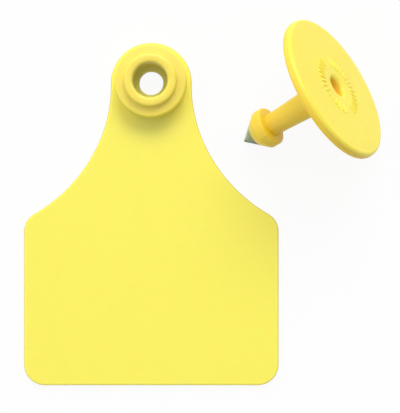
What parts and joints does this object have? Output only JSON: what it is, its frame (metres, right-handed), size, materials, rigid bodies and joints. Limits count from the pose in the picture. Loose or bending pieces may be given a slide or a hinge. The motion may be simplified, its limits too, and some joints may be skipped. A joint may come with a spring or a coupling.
{
  "type": "livestock ear tag",
  "caption": "Two-piece livestock ear tag, unapplied: a flat plastic panel with a stepped socket, and a round button whose hollow stud ends in a metal-pointed arrow head.",
  "frame": {"origin": "centre of the stud hole in the back face of the panel", "axes": "+Z along the stud hole, from the panel's back face up towards the mouth of the socket; the panel hangs along -Y from its round head; +X across the panel, towards the side where the button lies"},
  "size_m": [0.079, 0.0798, 0.028],
  "materials": {
    "panel_plastic": "satin yellow soft polyurethane",
    "button_plastic": "satin yellow polyurethane, a little warmer where it is thick",
    "tip_metal": "dull turned metal"
  },
  "bodies": {
    "root": {"tag_panel": "panel_plastic", "stud_button": "button_plastic", "piercing_tip": "tip_metal"}
  },
  "joints": []
}
